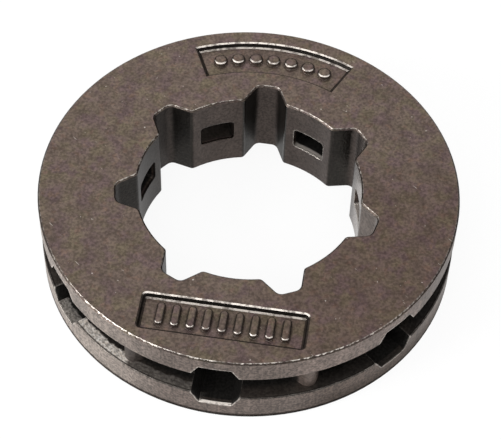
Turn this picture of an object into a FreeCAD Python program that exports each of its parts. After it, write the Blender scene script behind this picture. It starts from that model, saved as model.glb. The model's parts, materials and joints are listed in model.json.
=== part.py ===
"""Rim sprocket of a chainsaw: one steel casting with a splined bore and seven pockets for the drive links.

The origin lies on the bore axis at the lower face, and +Z runs up the axis. The first pocket, with its window into
the bore, points along -Y. A post and a spline slot stand midway between two pockets, so with seven of each, one slot
points along +Y. Lengths are millimetres and angles are degrees.
"""
import FreeCAD, Part
import math
import os
import Sketcher

NODE = "rim_sprocket"

# Driving sizes, each with what it measures
SIZES = (
    ("tooth_count", 7, "posts, pockets and spline slots around the axis"),
    ("outer_dia", 31.75, "outer diameter of both flanges, which carry the chain's straps"),
    ("thickness", 7.2, "from the lower face to the upper face"),
    ("lower_flange", 2.62, "thickness of the flange below the chain groove"),
    ("upper_flange", 2.05, "thickness of the flange above the chain groove"),
    ("hub_dia", 23.6, "floor of the chain groove, between the posts"),
    ("bore_dia", 17.0, "across the lands of the spline"),
    ("root_dia", 20.1, "across the floors of the spline slots"),
    ("slot_floor", 1.65, "width of a slot's floor, before its corners are rounded"),
    ("slot_flank", 25.7, "lean of a slot's flank from the slot's middle line"),
    ("slot_corner", 0.62, "radius between a slot's floor and its flank"),
    ("slot_mouth", 0.4, "radius between a slot's flank and the land beside it"),
    ("post_tip_dia", 30.8, "across the tips of the posts"),
    ("post_tip_radius", 0.68, "round end of a post, seen along the axis"),
    ("post_flank", 35.0, "lean of a post's flank from the post's middle line"),
    ("pocket_width", 3.56, "widest part of a drive-link pocket"),
    ("pocket_flat", 2.36, "flat top and bottom of a drive-link pocket"),
    ("pocket_lip", 1.07, "how far a pocket is cut into each flange"),
    ("pocket_floor_dia", 22.4, "across the inner ends of the pockets"),
    ("window_width", 2.75, "width of the hole from a pocket into the bore"),
    ("window_height", 2.03, "height of that hole, above the groove's lower side"),
    ("window_corner", 0.3, "corner radius of that hole"),
    ("arc_panel_half", 25.5, "half the angle that the curved recess in the upper face spans"),
    ("arc_panel_root_gap", 1.45, "from the circle of the slots' floors to the curved recess"),
    ("arc_panel_rim_gap", 1.275, "from the curved recess to the rim"),
    ("bar_panel_length", 12.1, "length of the straight recess in the upper face"),
    ("bar_panel_root_gap", 0.72, "from the circle of the slots' floors to the straight recess"),
    ("bar_panel_rim_gap", 0.8, "from the outer corners of the straight recess to the rim"),
    ("panel_corner", 0.15, "corner radius of the straight recess, at its floor"),
    ("panel_depth", 0.42, "depth of both recesses"),
    ("panel_draft", 25.0, "lean of the recesses' walls, which lets the part out of its mould"),
    ("rim_bevel", 0.14, "broken edge of the flanges' outer rims"),
    ("groove_bevel", 0.08, "broken edge of the rims beside the chain groove"),
    ("bore_bevel", 0.12, "broken edge of the spline at both faces"),
    ("panel_bevel", 0.08, "broken edge of the recesses at the upper face"),
    ("panel_fill", 0.09, "bevel that fills the corner between a recess's wall and its floor"),
)

# How far a cutting outline runs past the material that it cuts
OVERRUN = 1.0
# Two lengths closer than this count as equal where edges are picked
NEAR = 0.005

doc = FreeCAD.newDocument(NODE)
sheet = doc.addObject("Spreadsheet::Sheet", "Sizes")
for row, (alias, number, meaning) in enumerate(SIZES, start=1):
    sheet.set(f"A{row}", meaning)
    sheet.set(f"B{row}", str(number))
    sheet.setAlias(f"B{row}", alias)
doc.recompute()

body = doc.addObject("PartDesign::Body", "Body")
body.Label = NODE


def size(alias):
    """The number in a named cell of the sheet."""
    return float(sheet.get(alias))


def origin(role):
    """One of the body's own planes or axes."""
    return next(feature for feature in body.Origin.OriginFeatures if feature.Role == role)


def new_sketch(role, name, lift, turn="0"):
    """A sketch on one of the body's planes, raised along that plane's normal and turned about it by formulas."""
    sketch = body.newObject("Sketcher::SketchObject", name)
    sketch.AttachmentSupport = [(origin(role), "")]
    sketch.MapMode = "FlatFace"
    sketch.setExpression(".AttachmentOffset.Base.z", lift)
    sketch.setExpression(".AttachmentOffset.Rotation.Angle", turn)
    return sketch


def bind(sketch, constraint, formula):
    """Adds one constraint to a sketch and ties its value to a formula."""
    index = sketch.addConstraint(constraint)
    sketch.setExpression(f"Constraints[{index}]", formula)


def corner_points(sketch, corners):
    """Adds each corner of an outline as a construction point, placed by its two formulas."""
    points = []
    for x, y, radius in corners:
        start = FreeCAD.Vector(len(points) + 1.0, len(points) + 2.0, 0)
        point = sketch.addGeometry(Part.Point(start), True)
        bind(sketch, Sketcher.Constraint("DistanceX", -1, 1, point, 1, start.x), x)
        bind(sketch, Sketcher.Constraint("DistanceY", -1, 1, point, 1, start.y), y)
        points.append(point)
    doc.recompute()
    return points


def outline(sketch, corners):
    """Draws a closed outline of straight sides. A corner is an x formula, a y formula and the cell that holds its
    radius, or None where it is sharp. The sides pass through the corner points, and arcs round them off."""
    points = corner_points(sketch, corners)
    places = [sketch.getPoint(point, 1) for point in points]
    radii = [size(radius) if radius else 0.0 for x, y, radius in corners]
    count = len(corners)

    # Where the side before a corner ends, where the side after it starts, and the arc's outermost point
    ends = []
    for i in range(count):
        back = (places[i - 1] - places[i]).normalize()
        ahead = (places[(i + 1) % count] - places[i]).normalize()
        half = back.getAngle(ahead) / 2
        reach = radii[i] / math.tan(half)
        crown = (back + ahead).normalize() * radii[i] * (1 / math.sin(half) - 1)
        ends.append((places[i] + back * reach, places[i] + ahead * reach, places[i] + crown))

    sides = []
    for i in range(count):
        side = Part.LineSegment(ends[i][1], ends[(i + 1) % count][0])
        sides.append(sketch.addGeometry(side, False))
    for i in range(count):
        before, after, point = sides[i - 1], sides[i], points[i]
        if radii[i] == 0.0:
            sketch.addConstraint(Sketcher.Constraint("Coincident", before, 2, point, 1))
            sketch.addConstraint(Sketcher.Constraint("Coincident", after, 1, point, 1))
            continue
        first, last, crown = ends[i]
        arc = sketch.addGeometry(Part.Arc(first, crown, last), False)
        runs_forward = sketch.getPoint(arc, 1).distanceToPoint(first) < NEAR
        near_end, far_end = (1, 2) if runs_forward else (2, 1)
        sketch.addConstraint(Sketcher.Constraint("Tangent", before, 2, arc, near_end))
        sketch.addConstraint(Sketcher.Constraint("Tangent", arc, far_end, after, 1))
        sketch.addConstraint(Sketcher.Constraint("PointOnObject", point, 1, before))
        sketch.addConstraint(Sketcher.Constraint("PointOnObject", point, 1, after))
        bind(sketch, Sketcher.Constraint("Radius", arc, radii[i]), f"Sizes.{corners[i][2]}")
    doc.recompute()


def sector(sketch, inner, outer, half_angle, set_in="0"):
    """Draws a piece of a ring about the origin, to both sides of +Y: two arcs and two straight ends. The ends lie
    along radii, or beside them, set in by a formula."""
    radii = (inner, outer)
    along = [f"sqrt(({radius})^2 - ({set_in})^2)" for radius in radii]
    half_widths = [f"({run} * sin({half_angle}) - ({set_in}) * cos({half_angle}))" for run in along]
    points = corner_points(sketch, [
        (half_width, f"{run} * cos({half_angle}) + ({set_in}) * sin({half_angle})", None)
        for half_width, run in zip(half_widths, along)
    ])
    arcs = []
    for point, half_width in zip(points, half_widths):
        right = sketch.getPoint(point, 1)
        left = FreeCAD.Vector(-right.x, right.y, 0)
        crown = FreeCAD.Vector(0, right.Length, 0)
        arc = sketch.addGeometry(Part.Arc(right, crown, left), False)
        sketch.addConstraint(Sketcher.Constraint("Coincident", arc, 3, -1, 1))
        sketch.addConstraint(Sketcher.Constraint("Coincident", arc, 1, point, 1))
        bind(sketch, Sketcher.Constraint("DistanceX", -1, 1, arc, 2, left.x), f"-{half_width}")
        arcs.append(arc)
    for end in (1, 2):
        side = Part.LineSegment(sketch.getPoint(arcs[0], end), sketch.getPoint(arcs[1], end))
        side = sketch.addGeometry(side, False)
        sketch.addConstraint(Sketcher.Constraint("Coincident", side, 1, arcs[0], end))
        sketch.addConstraint(Sketcher.Constraint("Coincident", side, 2, arcs[1], end))
    doc.recompute()


def add(kind, name, sketch, length, reverse):
    """A pad or a pocket of one sketch. A pad runs along the sketch's normal and a pocket against it, unless
    reversed."""
    feature = body.newObject(f"PartDesign::{kind}", name)
    feature.Profile = sketch
    feature.Reversed = reverse
    feature.setExpression("Length", length)
    body.Tip = feature
    doc.recompute()
    return feature


def around(name, features):
    """Repeats features once for each tooth."""
    pattern = body.newObject("PartDesign::PolarPattern", name)
    pattern.Originals = features
    pattern.Axis = (origin("Z_Axis"), [""])
    pattern.Angle = 360
    pattern.setExpression("Occurrences", "Sizes.tooth_count")
    body.Tip = pattern
    doc.recompute()


def dress(kind, name, measure, cell, wanted):
    """Rounds or bevels each edge that the given test accepts."""
    base = body.Tip
    edges = [f"Edge{i}" for i, edge in enumerate(base.Shape.Edges, start=1) if wanted(edge)]
    feature = body.newObject(f"PartDesign::{kind}", name)
    feature.Base = (base, edges)
    feature.setExpression(measure, f"Sizes.{cell}")
    body.Tip = feature
    doc.recompute()


def middle_of(edge):
    """The point halfway along an edge."""
    return edge.valueAt((edge.FirstParameter + edge.LastParameter) / 2)


def reach_of(edge):
    """How far the middle of an edge lies from the bore axis."""
    point = middle_of(edge)
    return math.hypot(point.x, point.y)


def level(edge, *heights):
    """Whether an edge lies flat at one of the given heights."""
    marks = [vertex.Point.z for vertex in edge.Vertexes] + [middle_of(edge).z]
    return any(all(abs(z - height) < NEAR for z in marks) for height in heights)


# Heights and radii that the edges are picked by
upper_face = size("thickness")
groove_low = size("lower_flange")
groove_high = upper_face - size("upper_flange")
outer_radius = size("outer_dia") / 2
root_radius = size("root_dia") / 2
bore_radius = size("bore_dia") / 2

# Turned blank: a hub with a flange above and below the chain groove
blank_sketch = new_sketch("XZ_Plane", "BlankProfile", "0")
groove_roof = "Sizes.thickness - Sizes.upper_flange"
outline(blank_sketch, (
    ("Sizes.bore_dia / 2", "0", None),
    ("Sizes.outer_dia / 2", "0", None),
    ("Sizes.outer_dia / 2", "Sizes.lower_flange", None),
    ("Sizes.hub_dia / 2", "Sizes.lower_flange", None),
    ("Sizes.hub_dia / 2", groove_roof, None),
    ("Sizes.outer_dia / 2", groove_roof, None),
    ("Sizes.outer_dia / 2", "Sizes.thickness", None),
    ("Sizes.bore_dia / 2", "Sizes.thickness", None),
))
blank = body.newObject("PartDesign::Revolution", "Blank")
blank.Profile = blank_sketch
blank.ReferenceAxis = (origin("Z_Axis"), [""])
blank.Angle = 360
body.Tip = blank
doc.recompute()
dress("Chamfer", "OuterRims", "Size", "rim_bevel", lambda edge: (
    level(edge, 0, upper_face) and abs(reach_of(edge) - outer_radius) < NEAR))
dress("Chamfer", "GrooveRims", "Size", "groove_bevel", lambda edge: (
    level(edge, groove_low, groove_high) and abs(reach_of(edge) - outer_radius) < NEAR))

# Posts and slots are drawn along the sketch's +Y, then turned to half a tooth step past the first pocket
half_step = "180 deg + 180 deg / Sizes.tooth_count"

# Posts that join the flanges: wedges that narrow to a round tip, set back from the rims
post_sketch = new_sketch("XY_Plane", "PostOutline", "Sizes.lower_flange", half_step)
post_lean = "Sizes.post_flank * 1 deg"
post_apex = f"(Sizes.post_tip_dia / 2 + Sizes.post_tip_radius * (1 / sin({post_lean}) - 1))"
post_foot = "(Sizes.hub_dia / 2 - 2 * Sizes.post_tip_radius)"
post_half = f"({post_apex} - {post_foot}) * tan({post_lean})"
outline(post_sketch, (
    ("0", post_apex, "post_tip_radius"),
    (f"-{post_half}", post_foot, None),
    (post_half, post_foot, None),
))
post = add("Pad", "Post", post_sketch, f"{groove_roof} - Sizes.lower_flange", False)
around("Posts", [post])

# Drive-link pockets, eight-sided across the groove, and the windows that open them into the bore
pocket_sketch = new_sketch("XZ_Plane", "PocketOutline", "Sizes.pocket_floor_dia / 2")
pocket_low = "Sizes.lower_flange - Sizes.pocket_lip"
pocket_high = f"{groove_roof} + Sizes.pocket_lip"
outline(pocket_sketch, (
    ("-Sizes.pocket_flat / 2", pocket_low, None),
    ("Sizes.pocket_flat / 2", pocket_low, None),
    ("Sizes.pocket_width / 2", "Sizes.lower_flange", None),
    ("Sizes.pocket_width / 2", groove_roof, None),
    ("Sizes.pocket_flat / 2", pocket_high, None),
    ("-Sizes.pocket_flat / 2", pocket_high, None),
    ("-Sizes.pocket_width / 2", groove_roof, None),
    ("-Sizes.pocket_width / 2", "Sizes.lower_flange", None),
))
pocket_reach = f"(Sizes.outer_dia - Sizes.pocket_floor_dia) / 2 + {OVERRUN}"
link_pocket = add("Pocket", "LinkPocket", pocket_sketch, pocket_reach, True)
window_sketch = new_sketch("XZ_Plane", "WindowOutline", "0")
window_top = "Sizes.lower_flange + Sizes.window_height"
outline(window_sketch, (
    ("-Sizes.window_width / 2", "Sizes.lower_flange", "window_corner"),
    ("Sizes.window_width / 2", "Sizes.lower_flange", "window_corner"),
    ("Sizes.window_width / 2", window_top, "window_corner"),
    ("-Sizes.window_width / 2", window_top, "window_corner"),
))
window = add("Pocket", "Window", window_sketch, f"Sizes.pocket_floor_dia / 2 + {OVERRUN}", True)
around("LinkPockets", [link_pocket, window])

# Spline slots through both faces, wider towards the axis, with round corners inside and at the mouth
slot_sketch = new_sketch("XY_Plane", "SlotOutline", "0", half_step)
slot_start = f"(Sizes.bore_dia / 2 - {OVERRUN})"
slot_half = f"(Sizes.slot_floor / 2 + (Sizes.root_dia / 2 - {slot_start}) * tan(Sizes.slot_flank * 1 deg))"
outline(slot_sketch, (
    (f"-{slot_half}", slot_start, None),
    (slot_half, slot_start, None),
    ("Sizes.slot_floor / 2", "Sizes.root_dia / 2", "slot_corner"),
    ("-Sizes.slot_floor / 2", "Sizes.root_dia / 2", "slot_corner"),
))
slot = add("Pocket", "Slot", slot_sketch, "Sizes.thickness", True)
around("Slots", [slot])
dress("Fillet", "SlotMouths", "Radius", "slot_mouth", lambda edge: (
    abs(edge.Length - upper_face) < NEAR and abs(reach_of(edge) - bore_radius) < NEAR))
dress("Chamfer", "SplineEdges", "Size", "bore_bevel", lambda edge: (
    level(edge, 0, upper_face) and reach_of(edge) < root_radius + NEAR))

# How far the leaning wall of a recess runs inwards, from the upper face down to the floor
wall_run = "Sizes.panel_depth * tan(Sizes.panel_draft * 1 deg)"

# Straight recess in the upper face, over the first pocket, drawn at its floor and widening upwards
bar_sketch = new_sketch("XY_Plane", "BarPanelFloor", "Sizes.thickness - Sizes.panel_depth")
bar_half = f"(Sizes.bar_panel_length / 2 - {wall_run})"
bar_near = f"-(Sizes.root_dia / 2 + Sizes.bar_panel_root_gap + {wall_run})"
bar_top_far = "-sqrt((Sizes.outer_dia / 2 - Sizes.bar_panel_rim_gap)^2 - (Sizes.bar_panel_length / 2)^2)"
bar_far = f"{bar_top_far} + {wall_run}"
outline(bar_sketch, (
    (f"-{bar_half}", bar_far, "panel_corner"),
    (bar_half, bar_far, "panel_corner"),
    (bar_half, bar_near, "panel_corner"),
    (f"-{bar_half}", bar_near, "panel_corner"),
))
bar_panel = add("Pocket", "BarPanel", bar_sketch, "Sizes.panel_depth", True)
bar_panel.setExpression("TaperAngle", "Sizes.panel_draft * 1 deg")

# Curved recess in the upper face, on the other side of the bore, between its outlines at the top and the floor
arc_inner = "Sizes.root_dia / 2 + Sizes.arc_panel_root_gap"
arc_outer = "Sizes.outer_dia / 2 - Sizes.arc_panel_rim_gap"
arc_half = "Sizes.arc_panel_half * 1 deg"
arc_sketch = new_sketch("XY_Plane", "ArcPanelOutline", "Sizes.thickness")
sector(arc_sketch, arc_inner, arc_outer, arc_half)
arc_floor_sketch = new_sketch("XY_Plane", "ArcPanelFloor", "Sizes.thickness - Sizes.panel_depth")
sector(arc_floor_sketch, f"{arc_inner} + {wall_run}", f"{arc_outer} - {wall_run}", arc_half, wall_run)
arc_panel = body.newObject("PartDesign::SubtractiveLoft", "ArcPanel")
arc_panel.Profile = arc_sketch
arc_panel.Sections = [arc_floor_sketch]
arc_panel.Ruled = True
body.Tip = arc_panel
doc.recompute()
panel_floor = upper_face - size("panel_depth")
dress("Chamfer", "PanelFloors", "Size", "panel_fill", lambda edge: (
    level(edge, panel_floor) and reach_of(edge) > root_radius))
panel_reach = (root_radius + size("bore_bevel") + NEAR, outer_radius - size("rim_bevel") - NEAR)
dress("Chamfer", "PanelEdges", "Size", "panel_bevel", lambda edge: (
    level(edge, upper_face) and panel_reach[0] < reach_of(edge) < panel_reach[1]))

# Nothing is written unless every step of the model came out whole
doc.recompute()
for item in doc.Objects:
    if "Invalid" in item.State or "Error" in item.State:
        raise RuntimeError(f"{item.Name} failed: {item.State}")
if body.Shape.isNull() or not body.Shape.isValid() or len(body.Shape.Solids) != 1:
    raise RuntimeError(f"{NODE} is not one valid solid")
os.makedirs("parts", exist_ok=True)
body.Shape.exportStep(f"parts/{NODE}.step")
print(NODE, "volume", round(body.Shape.Volume, 2))
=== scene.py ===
"""Looks of the chainsaw rim sprocket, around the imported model: millimetres here, metres in the meshes."""
import json
import math

import bpy
import numpy as np
from mathutils import Matrix, Vector

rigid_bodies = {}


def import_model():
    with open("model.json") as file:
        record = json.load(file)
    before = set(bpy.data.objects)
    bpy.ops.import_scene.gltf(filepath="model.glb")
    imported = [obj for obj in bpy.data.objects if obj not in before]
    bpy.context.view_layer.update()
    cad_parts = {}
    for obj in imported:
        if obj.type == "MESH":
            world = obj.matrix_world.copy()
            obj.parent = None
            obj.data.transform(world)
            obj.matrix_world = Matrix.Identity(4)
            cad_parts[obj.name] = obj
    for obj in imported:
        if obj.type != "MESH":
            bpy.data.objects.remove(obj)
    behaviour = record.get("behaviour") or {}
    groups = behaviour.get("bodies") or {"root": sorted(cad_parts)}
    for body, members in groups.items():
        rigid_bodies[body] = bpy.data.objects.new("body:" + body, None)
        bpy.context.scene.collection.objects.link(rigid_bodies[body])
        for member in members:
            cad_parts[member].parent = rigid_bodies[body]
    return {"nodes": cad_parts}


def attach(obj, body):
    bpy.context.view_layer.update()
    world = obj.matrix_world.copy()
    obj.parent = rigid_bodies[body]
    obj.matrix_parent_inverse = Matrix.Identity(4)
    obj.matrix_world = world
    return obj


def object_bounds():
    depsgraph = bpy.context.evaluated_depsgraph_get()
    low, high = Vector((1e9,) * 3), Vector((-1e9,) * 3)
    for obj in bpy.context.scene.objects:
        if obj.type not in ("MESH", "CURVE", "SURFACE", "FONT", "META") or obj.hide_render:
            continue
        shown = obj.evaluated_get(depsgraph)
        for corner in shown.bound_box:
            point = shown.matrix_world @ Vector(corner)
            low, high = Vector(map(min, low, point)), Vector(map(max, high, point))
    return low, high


for leftover in list(bpy.data.objects):
    bpy.data.objects.remove(leftover)

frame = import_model()
cad_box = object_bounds()

# The sprocket: one steel casting, dark brown with the oxide of its heat treatment and left as it came out of
# the mould, with a fine sandy grain. Its sharp edges are worn bare, and light and shade are partly painted
# into
# its colour: lit and shaded stretches of the rims, painted shade in the spline, between the flanges and in the
# corners, and painted highlights on edges that face the front.
MM = 0.001
sprocket = frame["nodes"]["rim_sprocket"]

# Radii and heights that the finish goes by: rim, upper face, lands and slot floors of the spline, tips of the
# posts, lower side of the chain groove, bottom and top of the pockets, and floor of the recesses
RIM = cad_box[1][0] / MM
FACE = cad_box[1][2] / MM
LAND = 8.5
SLOT_FLOOR = 10.05
POST_TIP = 15.4
GROOVE_LOW = 2.62
POCKET_LOW = 1.55
POCKET_HIGH = 6.22
RECESS_FLOOR = 6.78
TEETH = 7

BLACK = (0.0, 0.0, 0.0, 1.0)
WHITE = (1.0, 1.0, 1.0, 1.0)


class Finish:
    """A material or a world, whose shader is put together node by node."""

    def __init__(self, owner):
        owner.use_nodes = True
        self.owner = owner
        self.tree = owner.node_tree
        self.tree.nodes.clear()

    def node(self, kind, options=None, inputs=None):
        """Adds a node. Options are its settings, and an input gets a plain value or another node's output."""
        made = self.tree.nodes.new(kind)
        for option, value in (options or {}).items():
            setattr(made, option, value)
        for socket, value in (inputs or {}).items():
            if isinstance(value, bpy.types.NodeSocket):
                self.tree.links.new(value, made.inputs[socket])
            else:
                made.inputs[socket].default_value = value
        return made

    def calc(self, operation, first, second=0.0):
        """One step of arithmetic on two values."""
        return self.node("ShaderNodeMath", {"operation": operation}, {0: first, 1: second}).outputs[0]

    def rise(self, value, low, high, start=0.0, end=1.0):
        """Climbs smoothly from start, where value is low, to end, where it is high."""
        settings = {"interpolation_type": "SMOOTHSTEP"}
        inputs = {0: value, 1: low, 2: high, 3: start, 4: end}
        return self.node("ShaderNodeMapRange", settings, inputs).outputs[0]

    def fall(self, value, low, high):
        """Drops smoothly from 1, where value is low, to 0, where it is high."""
        return self.rise(value, low, high, 1.0, 0.0)

    def all_of(self, *masks):
        """The product of masks: 1 where every one is 1. A plain number among them weakens the rest."""
        product = masks[0]
        for mask in masks[1:]:
            product = self.calc("MULTIPLY", product, mask)
        return product

    def any_of(self, *masks):
        """The largest of masks: 1 where at least one is 1."""
        largest = masks[0]
        for mask in masks[1:]:
            largest = self.calc("MAXIMUM", largest, mask)
        return largest

    def none_of(self, mask):
        """1 where a mask is 0, and 0 where it is 1."""
        return self.calc("SUBTRACT", 1.0, mask)

    def tint(self, factor, first, second, blend="MIX"):
        """Two colours mixed by a factor."""
        settings = {"data_type": "RGBA", "blend_type": blend}
        return self.node("ShaderNodeMix", settings, {0: factor, 6: first, 7: second}).outputs[2]

    def mottle(self, factor, colour, pattern):
        """A colour made darker where a pattern is 0 and lighter where it is 1."""
        return self.tint(factor, colour, self.tint(pattern, BLACK, WHITE), "OVERLAY")

    def noise(self, place, scale, detail, rough=0.55):
        """Cloudy noise about 0.5, with so many patches to a unit of place."""
        inputs = {"Vector": place, "Scale": scale, "Detail": detail, "Roughness": rough}
        return self.node("ShaderNodeTexNoise", {}, inputs).outputs["Fac"]

    def parts(self, vector):
        """The three components of a vector."""
        return self.node("ShaderNodeSeparateXYZ", {}, {0: vector}).outputs

    def surface(self, shader, kind="ShaderNodeOutputMaterial"):
        """Puts a finished shader on the surface."""
        self.node(kind, {}, {"Surface": shader})


# Where a spot lies, in millimetres and round the axis, and how its surface leans
steel = Finish(bpy.data.materials.new("oxidised_cast_steel"))
place = steel.node("ShaderNodeTexCoord").outputs
to_mm = {0: place["Object"], "Scale": 1 / MM}
spot = steel.node("ShaderNodeVectorMath", {"operation": "SCALE"}, to_mm).outputs[0]
x, y, z = steel.parts(spot)
flat_spot = steel.node("ShaderNodeCombineXYZ", {}, {0: x, 1: y}).outputs[0]
radius = steel.node("ShaderNodeVectorMath", {"operation": "LENGTH"}, {0: flat_spot}).outputs["Value"]
angle = steel.calc("ARCTAN2", y, x)
tilt_y, slope = steel.parts(place["Normal"])[1:]
upright = steel.fall(steel.calc("ABSOLUTE", slope), 0.3, 0.7)
right_half = steel.rise(x, 0.0, 2.0)


def side(degrees, half_width, fade):
    """A stretch of the ring about a compass angle: 1 up to half_width degrees from it, then fading to 0. It
    goes by the cosine of the angle between, so that it runs on past the half turn."""
    closeness = steel.calc("COSINE", steel.calc("SUBTRACT", angle, math.radians(degrees)))
    outer = math.cos(math.radians(half_width + fade))
    inner = math.cos(math.radians(half_width))
    return steel.rise(closeness, outer, inner)


# A wave round the axis: 1 in the middle of a slot and of a post, -1 in the middle of a pocket
wave = steel.calc("COSINE", steel.calc("MULTIPLY", steel.calc("SUBTRACT", angle, math.pi / 2), TEETH))

# Regions: walls of the rims, spline, posts, and what lies between the flanges
below_face = steel.fall(z, FACE - 0.2, FACE - 0.14)
near_top = steel.rise(z, RECESS_FLOOR - 0.18, RECESS_FLOOR - 0.08)
lower_half = steel.fall(z, GROOVE_LOW + 0.38, GROOVE_LOW + 1.38)
at_rim = steel.rise(radius, RIM - 0.575, RIM - 0.175)
rim_wall = steel.all_of(at_rim, upright)
right_low = steel.all_of(rim_wall, lower_half, side(322, 14, 20))
in_spline = steel.fall(radius, SLOT_FLOOR + 0.1, SLOT_FLOOR + 0.25)
slot = steel.all_of(in_spline, steel.rise(wave, 0.05, 0.2), below_face, upright)
slot_flank = steel.all_of(slot, steel.fall(wave, 0.72, 0.9), steel.fall(x, LAND - 2.0, LAND))
bore_land = steel.all_of(steel.fall(radius, LAND + 0.1, LAND + 0.25), below_face)
post = steel.all_of(
    steel.rise(wave, 0.3, 0.5),
    steel.rise(radius, POST_TIP - 0.75, POST_TIP - 0.4),
    steel.fall(radius, POST_TIP + 0.05, POST_TIP + 0.2),
    upright)
in_groove = steel.all_of(
    steel.rise(z, POCKET_LOW - 0.1, POCKET_LOW - 0.05),
    steel.fall(z, POCKET_HIGH - 0.02, POCKET_HIGH + 0.08),
    steel.rise(radius, LAND + 0.25, LAND + 0.4))
far_in = steel.fall(radius, POST_TIP - 0.9, POST_TIP - 0.2)
pocket_slope = steel.all_of(
    steel.rise(slope, 0.3, 0.4),
    steel.fall(slope, 0.55, 0.65),
    steel.fall(wave, -0.2, 0.2))
pocket_floor = steel.all_of(
    steel.fall(z, POCKET_LOW + 0.15, POCKET_LOW + 0.25),
    steel.fall(radius, RIM - 0.525, RIM - 0.455))
darkened = steel.any_of(far_in, pocket_slope, pocket_floor)
deep_shade = steel.all_of(in_groove, darkened, steel.none_of(slot), steel.none_of(post))
past_spline = steel.rise(radius, SLOT_FLOOR + 0.25, SLOT_FLOOR + 0.55)
shaded = steel.all_of(in_groove, past_spline, steel.none_of(post), steel.none_of(rim_wall))

# The outer edge of the groove's lower side: a painted pool of light, pale in specks drawn out round the axis,
# most on one stretch at the left
drawn_out = {0: steel.calc("MULTIPLY", radius, 1.6), 1: steel.calc("MULTIPLY", angle, 14.0)}
drawn_spot = steel.node("ShaderNodeCombineXYZ", {}, drawn_out).outputs[0]
pale_specks = steel.rise(steel.noise(drawn_spot, 4.0, 4.0), 0.38, 0.6, 0.45, 1.0)
lit_stretch = steel.any_of(
    steel.all_of(side(219, 6.5, 1.5), 0.42),
    side(234.5, 9, 1.5),
    steel.all_of(side(255, 9, 4), 0.22))
ragged_reach = steel.calc("ADD", radius, steel.calc("MULTIPLY", steel.noise(spot, 1.6, 3.0), 0.5))
by_groove = steel.fall(z, GROOVE_LOW + 0.38, GROOVE_LOW + 0.58)
lit_groove_side = steel.all_of(
    pale_specks,
    in_groove,
    by_groove,
    steel.rise(ragged_reach, RIM - 0.675, RIM - 0.525),
    steel.rise(slope, 0.7, 0.9),
    lit_stretch)

# The front pocket's outer floor and the sills of the windows: painted highlights where light from above
# catches them
lit_notch_strip = steel.all_of(
    steel.rise(z, POCKET_LOW - 0.25, POCKET_LOW - 0.1),
    steel.fall(z, POCKET_LOW + 0.05, POCKET_LOW + 0.2),
    steel.rise(radius, RIM - 0.275, RIM - 0.225),
    steel.rise(slope, 0.8, 0.95),
    side(270, 20, 5))
lit_sill = steel.all_of(
    steel.fall(radius, LAND + 0.35, LAND + 0.5),
    steel.rise(slope, 0.4, 0.7),
    steel.fall(z, GROOVE_LOW + 0.78, GROOVE_LOW + 0.98),
    right_half)

# Slopes of the bevels and of the recess walls
bevel = steel.all_of(steel.rise(slope, 0.55, 0.64), steel.fall(slope, 0.9, 0.96))
recess_wall = steel.all_of(steel.rise(slope, 0.26, 0.36), steel.fall(slope, 0.5, 0.58), near_top)

# Convex edges without a bevel, found by looking for open air just behind the surface, and their slight
# rounding
behind = {"samples": 8, "inside": True, "only_local": True}
open_air = steel.node("ShaderNodeAmbientOcclusion", behind, {"Distance": 0.18 * MM}).outputs["AO"]
edge = steel.fall(open_air, 0.5, 0.86)
near_edge = steel.fall(open_air, 0.68, 0.94)
rounded = steel.node("ShaderNodeBevel", {"samples": 6}, {"Radius": 0.11 * MM}).outputs[0]
true_normal = steel.node("ShaderNodeNewGeometry").outputs["Normal"]
normals = {0: edge, 4: true_normal, 5: rounded}
edge_normal = steel.node("ShaderNodeMix", {"data_type": "VECTOR"}, normals).outputs[1]

# Painted shade: in the corners of the recesses, a dark line on the lip beside the groove, a painted dark
# reflection on edges that face the back, and a painted contact shadow at the foot of the lower rim that
# reaches up the lower wall at the right
shelter = steel.node("ShaderNodeAmbientOcclusion", {"samples": 8}, {"Distance": 0.4 * MM}).outputs["AO"]
recess_corner = steel.all_of(steel.fall(shelter, 0.45, 0.85), near_top)
lip_line = steel.all_of(
    steel.rise(radius, RIM - 0.235, RIM - 0.165),
    steel.rise(slope, 0.7, 0.9),
    steel.rise(z, GROOVE_LOW - 0.62, GROOVE_LOW - 0.42),
    by_groove)
back_edge = steel.all_of(near_edge, steel.rise(steel.parts(rounded)[1], 0.05, 0.35))
foot_line = steel.any_of(
    steel.all_of(at_rim, steel.fall(z, 0.35, 0.6)),
    steel.all_of(right_low, steel.fall(z, 0.4, 2.2), 0.4))
painted_shade = steel.any_of(steel.all_of(recess_corner, 0.6), lip_line, back_edge, foot_line)

# The oxide: brown-grey, clouded with olive, violet and rust of about the same brightness, and a painted shade
# that dims it at the right
OXIDE = (0.116, 0.0872, 0.072, 1.0)
OXIDE_OLIVE = (0.12, 0.096, 0.068, 1.0)
OXIDE_VIOLET = (0.116, 0.082, 0.078, 1.0)
OXIDE_RUST = (0.131, 0.09, 0.071, 1.0)
RIGHT_SIDE_SHADE = (0.87, 0.825, 0.82, 1.0)
colour = steel.tint(steel.rise(steel.noise(spot, 0.55, 3.0), 0.42, 0.66), OXIDE, OXIDE_OLIVE)
colour = steel.tint(steel.rise(steel.noise(flat_spot, 0.8, 3.0), 0.45, 0.66), colour, OXIDE_VIOLET)
colour = steel.tint(steel.rise(steel.noise(flat_spot, 1.4, 3.0), 0.54, 0.7), colour, OXIDE_RUST)
colour = steel.tint(side(330, 15, 45), colour, RIGHT_SIDE_SHADE, "MULTIPLY")
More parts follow.
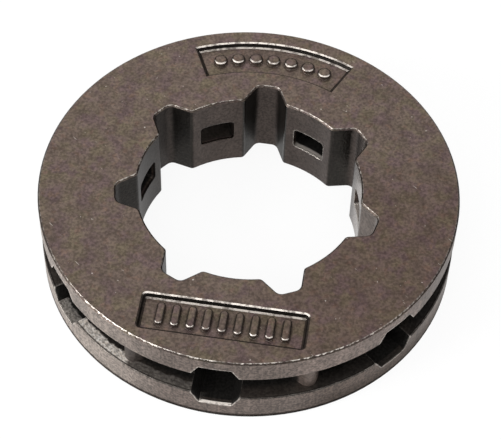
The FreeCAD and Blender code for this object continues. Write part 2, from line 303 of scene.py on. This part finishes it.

# Rims and posts, rubbed to one tone; then painted light on the left wall and the upper wall at the right, and
# painted shade on the lower wall at the right and on the left post
RUBBED = (0.108, 0.084, 0.072, 1.0)
LEFT_WALL_LIGHT = (0.22, 0.185, 0.16, 1.0)
RIGHT_LOW_SHADE = (0.1, 0.074, 0.06, 1.0)
RIGHT_HIGH_LIGHT = (0.15, 0.116, 0.1, 1.0)
LEFT_POST_SHADE = (0.05, 0.041, 0.037, 1.0)
left_wall = steel.all_of(rim_wall, side(220, 10, 28), steel.rise(lower_half, 0.0, 1.0, 0.7, 1.0))
right_high = steel.all_of(rim_wall, side(310, 14, 10), steel.none_of(lower_half))
colour = steel.tint(steel.any_of(rim_wall, post), colour, RUBBED)
colour = steel.tint(left_wall, colour, LEFT_WALL_LIGHT)
colour = steel.tint(right_low, colour, RIGHT_LOW_SHADE)
colour = steel.tint(right_high, colour, RIGHT_HIGH_LIGHT)
colour = steel.tint(steel.all_of(post, side(244, 10, 5)), colour, LEFT_POST_SHADE)

# The spline, in painted light and shade: shaded in the bore and more at the left, lit paler on the lands at
# the right, and darkest on the flanks of its slots
BORE_SHADE = (0.06, 0.047, 0.041, 1.0)
BORE_LEFT_SHADE = (0.03, 0.025, 0.022, 1.0)
BORE_RIGHT_LIGHT = (0.2, 0.165, 0.145, 1.0)
FLANK_SHADE = (0.023, 0.02, 0.017, 1.0)
slot_share = steel.rise(slot, 0.0, 1.0, 1.0, 0.45)
bore_colour = steel.tint(steel.all_of(steel.rise(x, LAND - 0.9, LAND - 0.2), slot_share), BORE_SHADE, BORE_RIGHT_LIGHT)
bore_colour = steel.tint(steel.rise(x, 0.5 - LAND, 2.0 - LAND), BORE_LEFT_SHADE, bore_colour)
colour = steel.tint(steel.any_of(bore_land, slot), colour, bore_colour)
colour = steel.tint(slot_flank, colour, FLANK_SHADE)

# Between the flanges: painted shade, darker the farther in, but for one window at the back; and the painted
# pool of light on the pale stretch
SHADED = (0.072, 0.06, 0.052, 1.0)
DEEP_SHADE = (0.03, 0.028, 0.026, 1.0)
LIT_PALE = (0.82, 0.75, 0.68, 1.0)
darker_right = steel.any_of(side(350, 12, 14), steel.all_of(side(308, 8, 8), 0.5))
colour = steel.tint(shaded, colour, SHADED)
colour = steel.tint(steel.any_of(deep_shade, steel.all_of(shaded, darker_right)), colour, DEEP_SHADE)
colour = steel.tint(steel.all_of(deep_shade, side(116, 14, 8)), colour, SHADED)
colour = steel.tint(lit_groove_side, colour, LIT_PALE)

# Painted shade on the recess walls and the bevels, and the painted shade of corners, lip, back edges and foot
# over all of it; then the sandy speckle, the wider patches and the upright streaks on the rims
SHADE_DARK = (0.02, 0.017, 0.015, 1.0)
colour = steel.tint(steel.any_of(recess_wall, steel.all_of(bevel, 0.7)), colour, SHADE_DARK)
colour = steel.tint(steel.all_of(painted_shade, 0.85), colour, SHADE_DARK)
sand = steel.noise(spot, 5.2, 2.0, 0.5)
patches = steel.noise(spot, 0.7, 4.0)
streaks = steel.noise(flat_spot, 8.0, 3.0)
colour = steel.mottle(steel.rise(rim_wall, 0.0, 1.0, 0.27, 0.4), colour, steel.rise(sand, 0.3, 0.7))
colour = steel.mottle(0.13, colour, steel.rise(patches, 0.3, 0.7))
colour = steel.mottle(steel.all_of(rim_wall, 0.14), colour, steel.rise(streaks, 0.3, 0.7))

# Wear and painted highlights: bare metal along the crests of the bevels and the edges, in broken lines,
# painted bright only where they face the front, and on the upper rim most of all at the front
BARE_AND_HIGHLIGHT = (0.6, 0.55, 0.5, 1.0)
ragged = steel.rise(steel.noise(spot, 2.6, 4.0), 0.36, 0.58, 0.25, 1.0)
to_front = steel.fall(tilt_y, -0.1, 0.2)
by_spline = steel.fall(radius, SLOT_FLOOR + 0.35, SLOT_FLOOR + 0.55)
by_rim = steel.rise(radius, RIM - 0.375, RIM - 0.275)
recess_line = steel.all_of(
    steel.none_of(by_spline),
    steel.none_of(by_rim),
    steel.rise(z, FACE - 0.3, FACE - 0.1, 0.5, 0.9),
    steel.fall(tilt_y, -0.35, -0.1))
rim_line = steel.all_of(by_rim, steel.rise(side(270, 14, 38), 0.0, 1.0, 0.3, 0.85))
bore_line = steel.all_of(by_spline, 0.5)
uneven_height = steel.calc("ADD", z, steel.calc("MULTIPLY", steel.noise(spot, 3.2, 3.0), 0.3))
crest = steel.rise(uneven_height, FACE + 0.105, FACE + 0.125)
top_line = steel.all_of(crest, steel.any_of(rim_line, bore_line))
bevel_wear_and_highlight = steel.all_of(bevel, near_top, steel.any_of(recess_line, top_line), to_front, ragged)
outside_left_bore = steel.any_of(steel.rise(radius, LAND + 0.4, LAND + 0.6), right_half)
edge_wear_and_highlight = steel.all_of(edge, ragged, to_front, outside_left_bore, 0.7)

# Nicks and slanting scratches on the upper face, and the painted highlights on the notch floor and the sills
slant = {"Vector": flat_spot, "Rotation": (0.0, 0.0, math.radians(-38)), "Scale": (1.3, 0.14, 1.0)}
slant_spot = steel.node("ShaderNodeMapping", {"vector_type": "TEXTURE"}, slant).outputs[0]
scratches = steel.rise(steel.noise(slant_spot, 1.0, 1.0), 0.785, 0.8)
nicks = steel.rise(steel.noise(spot, 3.1, 2.0), 0.74, 0.78)
specks = steel.all_of(steel.any_of(nicks, scratches), steel.rise(slope, 0.8, 0.95), near_top, 0.55)
notch_highlight = steel.all_of(lit_notch_strip, steel.rise(ragged, 0.2, 0.9, 0.5, 1.0))
wear_and_highlight = steel.any_of(bevel_wear_and_highlight, edge_wear_and_highlight, notch_highlight, steel.all_of(lit_sill, 0.6), specks)
colour = steel.tint(wear_and_highlight, colour, BARE_AND_HIGHLIGHT)

# The rubbed rims, posts, notch floor and painted pale stretch of the groove scatter light like a dull film,
# and the rest shines like metal through its oxide. All lands but those far left and the slots at the right are
# polished, and the painted shade is matt.
dull_film_parts = steel.any_of(rim_wall, lit_notch_strip, lit_groove_side, post)
dull = steel.all_of(dull_film_parts, steel.none_of(painted_shade), steel.rise(right_low, 0.0, 1.0, 1.0, 0.2))
metallic = steel.rise(steel.any_of(dull, wear_and_highlight), 0.0, 1.0, 0.92, 0.5)
metallic = steel.calc("SUBTRACT", metallic, steel.all_of(lit_notch_strip, 0.45))
polished = steel.any_of(
    steel.all_of(bore_land, steel.rise(x, 1.5 - LAND, 3.5 - LAND)),
    steel.all_of(slot, steel.rise(x, LAND - 3.5, LAND - 1.5)))
roughness = steel.calc("ADD", steel.rise(polished, 0.0, 1.0, 0.46, 0.25), steel.all_of(painted_shade, 0.45))
grain = {"Strength": 1.0, "Distance": 0.02 * MM, "Height": sand, "Normal": edge_normal}
steel.surface(steel.node("ShaderNodeBsdfPrincipled", {}, {
    "Base Color": colour,
    "Metallic": metallic,
    "Roughness": roughness,
    "Specular IOR Level": 0.25,
    "Normal": steel.node("ShaderNodeBump", {}, grain).outputs[0],
}).outputs[0])
sprocket.data.materials[0] = steel.owner

# The ribs in the straight recess and the pips in the curved one: plain raised marks of the same steel, cast in
# one with the upper face. The seven pips stand for the seven teeth.
MARK_LIFT = 0.39
MARK_SUNK = 0.03


def raised_mark(half_run, half_width, around=24, up=12, fullness=4.0):
    """A rounded bar, or a pip where half_run is 0. Its outline is a stadium: half circles about both ends of a
    line. Ring by ring it shrinks onto that line while it rises along a superellipse: what is left of the width
    and what is climbed of the lift, each as a share and raised to the power fullness, add up to 1. A flat
    underside, sunk into the recess, closes it."""
    turn = np.linspace(-math.pi / 2, 1.5 * math.pi, around, endpoint=False)
    end = np.where(np.cos(turn) > 1e-9, half_run, -half_run)
    end = np.where(np.abs(np.cos(turn)) <= 1e-9, half_run * np.sign(-np.sin(turn)), end)
    shrink = 1 - np.cos(np.linspace(0, math.pi / 2, up))
    rise = MARK_LIFT * (1 - (1 - shrink) ** fullness) ** (1 / fullness)
    shrink = np.concatenate([[1.0, 0.0], shrink])
    rise = np.concatenate([[-MARK_SUNK, -MARK_SUNK], rise])
    reach = half_width * (1 - shrink)[:, None]
    points = np.stack([end + reach * np.cos(turn), reach * np.sin(turn), rise[:, None] + 0 * turn], axis=-1)
    ring, step = np.meshgrid(np.arange(len(shrink) - 1), np.arange(around), indexing="ij")
    ahead = (step + 1) % around
    here = ring * around
    above = here + around
    faces = np.stack([here + step, here + ahead, above + ahead, above + step], axis=-1)
    return points.reshape(-1, 3), faces.reshape(-1, 4)


def cast_marks(name, shape, places):
    """Copies of one mark, each turned about Z and moved to its place on the recess floor, as one object."""
    points, faces = shape
    turned = []
    for centre_x, centre_y, turn in places:
        c, s = math.cos(turn), math.sin(turn)
        spin = np.array([[c, s, 0], [-s, c, 0], [0, 0, 1]])
        turned.append(points @ spin + (centre_x, centre_y, RECESS_FLOOR))
    first_points = len(points) * np.arange(len(places))
    all_faces = (faces[None] + first_points[:, None, None]).reshape(-1, 4)
    mesh = bpy.data.meshes.new(name)
    mesh.from_pydata((np.concatenate(turned) * MM).tolist(), [], all_faces.tolist())
    marks = bpy.data.objects.new(name, mesh)
    bpy.context.scene.collection.objects.link(marks)
    mesh.materials.append(steel.owner)
    mesh.polygons.foreach_set("use_smooth", [True] * len(mesh.polygons))
    weld = marks.modifiers.new("closed_ridge", "WELD")
    weld.merge_threshold = 0.001 * MM
    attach(marks, "root")


RIBS = 9
RIB_PITCH = 1.14
RIB_ROW = -12.3
RIB_HALF_RUN = 0.62
RIB_HALF_WIDTH = 0.34
rib_places = [((i - (RIBS - 1) / 2) * RIB_PITCH, RIB_ROW, math.pi / 2) for i in range(RIBS)]
cast_marks("recess_ribs", raised_mark(RIB_HALF_RUN, RIB_HALF_WIDTH), rib_places)

PIP_CIRCLE = 13.05
PIP_STEP = math.radians(6.2)
PIP_RADIUS = 0.55
pip_turns = [math.pi / 2 + (i - (TEETH - 1) / 2) * PIP_STEP for i in range(TEETH)]
pip_places = [(PIP_CIRCLE * math.cos(turn), PIP_CIRCLE * math.sin(turn), turn) for turn in pip_turns]
cast_marks("tooth_pips", raised_mark(0.0, PIP_RADIUS), pip_places)

# The ground: a wide sheet of plain white paper, which keeps the soft shadow under the sprocket. It lies a hair
# below the sprocket's lower face, so that the two never share a plane.
GROUND = 1.5
BENEATH = -0.02 * MM
WHITENESS = 0.9
PAPER = (0.85, 0.85, 0.85, 1.0)
ground_corners = [(GROUND * i, GROUND * j, BENEATH) for i, j in ((-1, -1), (1, -1), (1, 1), (-1, 1))]
ground_mesh = bpy.data.meshes.new("ground")
ground_mesh.from_pydata(ground_corners, [], [(0, 1, 2, 3)])
ground = bpy.data.objects.new("ground", ground_mesh)
bpy.context.scene.collection.objects.link(ground)
paper = Finish(bpy.data.materials.new("white_paper"))
ray = paper.node("ShaderNodeLightPath").outputs
seen = paper.any_of(ray["Is Camera Ray"], ray["Is Glossy Ray"], ray["Is Transmission Ray"])
matt = paper.node("ShaderNodeBsdfDiffuse", {}, {"Color": PAPER}).outputs[0]
glow = paper.node("ShaderNodeEmission", {}, {"Color": WHITE, "Strength": 1.0}).outputs[0]
sheet = {0: paper.all_of(seen, WHITENESS), 1: matt, 2: glow}
paper.surface(paper.node("ShaderNodeMixShader", {}, sheet).outputs[0])
ground_mesh.materials.append(paper.owner)


# The light: a wide soft box high in front, small ones low at the left and the right, a wide one behind, and a
# room that is dim at the horizon and pale above.
def soft_box(name, compass, climb, distance, width, watts):
    """A square lamp that faces the sprocket, from a compass angle about Z and a climb above the ground, both
    in degrees. Distance and width are in metres."""
    lamp = bpy.data.lights.new(name, "AREA")
    lamp.shape = "SQUARE"
    lamp.size = width
    lamp.energy = watts
    around = math.radians(compass)
    up = math.radians(climb)
    out = Vector((math.cos(up) * math.cos(around), math.cos(up) * math.sin(around), math.sin(up)))
    holder = bpy.data.objects.new(name, lamp)
    holder.matrix_world = Matrix.Translation(out * distance) @ out.to_track_quat("Z", "Y").to_matrix().to_4x4()
    bpy.context.scene.collection.objects.link(holder)


soft_box("front_box", compass=270, climb=64, distance=0.5, width=0.36, watts=1.0)
soft_box("left_box", compass=212, climb=24, distance=0.35, width=0.16, watts=1.5)
soft_box("right_box", compass=338, climb=22, distance=0.4, width=0.16, watts=0.42)
soft_box("back_box", compass=104, climb=40, distance=0.5, width=0.3, watts=0.34)

HORIZON = 0.2
ZENITH = 0.84
room = Finish(bpy.data.worlds.new("pale_room"))
aloft = room.parts(room.node("ShaderNodeTexCoord").outputs["Generated"])[2]
walls = {"Color": WHITE, "Strength": room.rise(aloft, 0.0, 0.95, HORIZON, ZENITH)}
room.surface(room.node("ShaderNodeBackground", {}, walls).outputs[0], "ShaderNodeOutputWorld")
bpy.context.scene.world = room.owner
bpy.context.scene.view_settings.view_transform = "Standard"

# The camera: a long lens in front of the sprocket, looking down at it and turned a little about its own axis.
LENS = 124.38
SENSOR = 36.0
LOOKS_AT = Vector((0.24, -0.435, 3.6)) * MM
DISTANCE = 132.945 * MM
TURN = 7.226
CLIMB = 53.092
ROLL = 1.797
view = bpy.data.cameras.new("photo_view")
view.sensor_fit = "HORIZONTAL"
view.sensor_width = SENSOR
view.lens = LENS
view.clip_start = 0.01
turn = Matrix.Rotation(math.radians(TURN), 4, "Z")
tilt = Matrix.Rotation(math.radians(90 - CLIMB), 4, "X")
roll = Matrix.Rotation(math.radians(ROLL), 4, "Z")
aim = turn @ tilt @ roll
eye = LOOKS_AT + aim.to_3x3() @ Vector((0, 0, DISTANCE))
camera = bpy.data.objects.new("photo_view", view)
camera.matrix_world = Matrix.Translation(eye) @ aim
bpy.context.scene.collection.objects.link(camera)
bpy.context.scene.camera = camera
